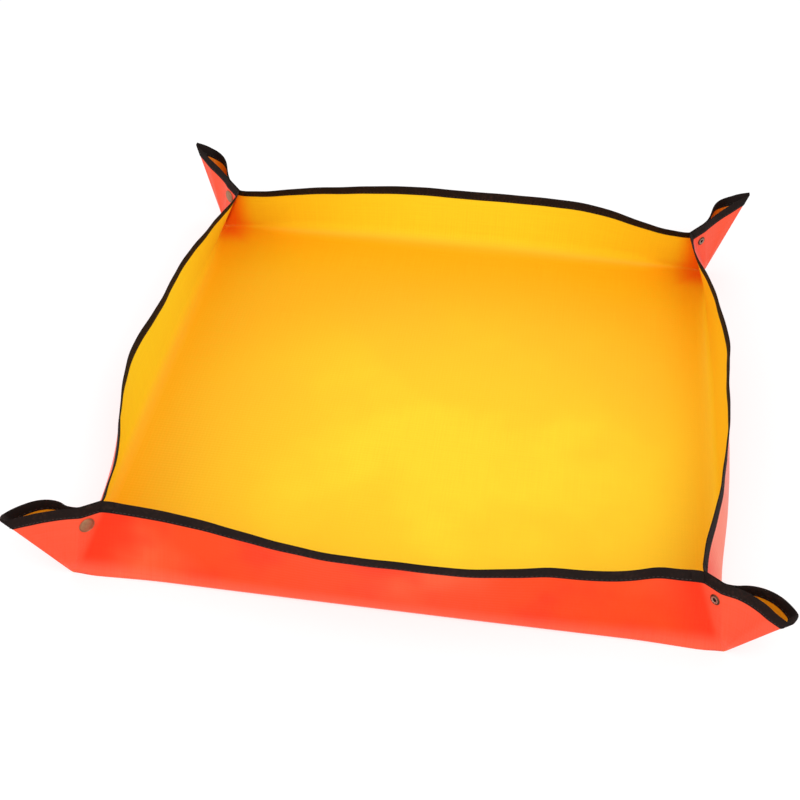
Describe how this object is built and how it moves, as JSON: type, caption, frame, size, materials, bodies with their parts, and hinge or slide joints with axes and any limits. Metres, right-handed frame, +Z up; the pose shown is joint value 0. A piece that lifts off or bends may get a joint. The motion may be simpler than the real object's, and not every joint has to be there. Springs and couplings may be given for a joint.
{
  "type": "potting soil tray",
  "caption": "Square coated-cloth potting tray folded from one flat sheet, with taped rims and pinched corner ears held by press snaps that open to let it lie flat.",
  "frame": {"origin": "centre of the floor's underside, on the table", "axes": "+Z up out of the tray, -Y towards the front wall, +X to the right"},
  "size_m": [0.6818, 0.6818, 0.0932],
  "materials": {
    "sheet": "satin coated weave, yellow inside and orange-red outside",
    "binding": "matte woven tape",
    "cap": "antique nickel",
    "snap_metal": "antique nickel",
    "eyelet_metal": "dark nickel",
    "spring_wire": "bright wire"
  },
  "bodies": {
    "floor": {"floor_sheet": "sheet"},
    "front_wall": {"wall_front": "sheet", "binding_front": "binding"},
    "front_ear_right": {"flap_front_right": "sheet", "binding_front_right": "binding", "stud_front": "snap_metal", "eyelet_front": "eyelet_metal"},
    "front_ear_left": {"flap_front_left": "sheet", "binding_front_left": "binding", "cap_front": "cap", "socket_front": "snap_metal", "spring_front": "spring_wire"},
    "right_wall": {"wall_right": "sheet", "binding_right": "binding"},
    "right_ear_back": {"flap_right_back": "sheet", "binding_right_back": "binding", "stud_right": "snap_metal", "eyelet_right": "eyelet_metal"},
    "right_ear_front": {"flap_right_front": "sheet", "binding_right_front": "binding", "cap_right": "cap", "socket_right": "snap_metal", "spring_right": "spring_wire"},
    "back_wall": {"wall_back": "sheet", "binding_back": "binding"},
    "back_ear_left": {"flap_back_left": "sheet", "binding_back_left": "binding", "stud_back": "snap_metal", "eyelet_back": "eyelet_metal"},
    "back_ear_right": {"flap_back_right": "sheet", "binding_back_right": "binding", "cap_back": "cap", "socket_back": "snap_metal", "spring_back": "spring_wire"},
    "left_wall": {"wall_left": "sheet", "binding_left": "binding"},
    "left_ear_front": {"flap_left_front": "sheet", "binding_left_front": "binding", "stud_left": "snap_metal", "eyelet_left": "eyelet_metal"},
    "left_ear_back": {"flap_left_back": "sheet", "binding_left_back": "binding", "cap_left": "cap", "socket_left": "snap_metal", "spring_left": "spring_wire"}
  },
  "joints": [
    {"name": "front_wall_fold", "type": "hinge", "parent": "floor", "child": "front_wall", "pos_m": [0, -0.3, 0.0002], "axis": [1, 0, 0], "range_deg": [0, 83]},
    {"name": "right_wall_fold", "type": "hinge", "parent": "floor", "child": "right_wall", "pos_m": [0.3, 0, 0.0002], "axis": [0, 1, 0], "range_deg": [0, 83]},
    {"name": "back_wall_fold", "type": "hinge", "parent": "floor", "child": "back_wall", "pos_m": [0, 0.3, 0.0002], "axis": [-1, 0, 0], "range_deg": [0, 83]},
    {"name": "left_wall_fold", "type": "hinge", "parent": "floor", "child": "left_wall", "pos_m": [-0.3, 0, 0.0002], "axis": [0, -1, 0], "range_deg": [0, 83]},
    {"name": "front_crease_right", "type": "hinge", "parent": "front_wall", "child": "front_ear_right", "pos_m": [0.29675, -0.3, 0.0002], "axis": [-0.3606, 0.3606, 0.8602], "range_deg": [0, 47.7]},
    {"name": "front_crease_left", "type": "hinge", "parent": "front_wall", "child": "front_ear_left", "pos_m": [-0.29675, -0.3, 0.0002], "axis": [-0.3606, -0.3606, -0.8602], "range_deg": [0, 47.7]},
    {"name": "right_crease_back", "type": "hinge", "parent": "right_wall", "child": "right_ear_back", "pos_m": [0.3, 0.29675, 0.0002], "axis": [-0.3606, -0.3606, 0.8602], "range_deg": [0, 47.7]},
    {"name": "right_crease_front", "type": "hinge", "parent": "right_wall", "child": "right_ear_front", "pos_m": [0.3, -0.29675, 0.0002], "axis": [0.3606, -0.3606, -0.8602], "range_deg": [0, 47.7]},
    {"name": "back_crease_left", "type": "hinge", "parent": "back_wall", "child": "back_ear_left", "pos_m": [-0.29675, 0.3, 0.0002], "axis": [0.3606, -0.3606, 0.8602], "range_deg": [0, 47.7]},
    {"name": "back_crease_right", "type": "hinge", "parent": "back_wall", "child": "back_ear_right", "pos_m": [0.29675, 0.3, 0.0002], "axis": [0.3606, 0.3606, -0.8602], "range_deg": [0, 47.7]},
    {"name": "left_crease_front", "type": "hinge", "parent": "left_wall", "child": "left_ear_front", "pos_m": [-0.3, -0.29675, 0.0002], "axis": [0.3606, 0.3606, 0.8602], "range_deg": [0, 47.7]},
    {"name": "left_crease_back", "type": "hinge", "parent": "left_wall", "child": "left_ear_back", "pos_m": [-0.3, 0.29675, 0.0002], "axis": [-0.3606, 0.3606, -0.8602], "range_deg": [0, 47.7]}
  ],
  "couplings": [
    {"joint": "right_wall_fold", "follows": "front_wall_fold", "ratio": 1},
    {"joint": "back_wall_fold", "follows": "front_wall_fold", "ratio": 1},
    {"joint": "left_wall_fold", "follows": "front_wall_fold", "ratio": 1},
    {"joint": "front_crease_right", "follows": "front_wall_fold", "ratio": 0.57},
    {"joint": "front_crease_left", "follows": "front_wall_fold", "ratio": 0.57},
    {"joint": "right_crease_back", "follows": "front_wall_fold", "ratio": 0.57},
    {"joint": "right_crease_front", "follows": "front_wall_fold", "ratio": 0.57},
    {"joint": "back_crease_left", "follows": "front_wall_fold", "ratio": 0.57},
    {"joint": "back_crease_right", "follows": "front_wall_fold", "ratio": 0.57},
    {"joint": "left_crease_front", "follows": "front_wall_fold", "ratio": 0.57},
    {"joint": "left_crease_back", "follows": "front_wall_fold", "ratio": 0.57}
  ]
}
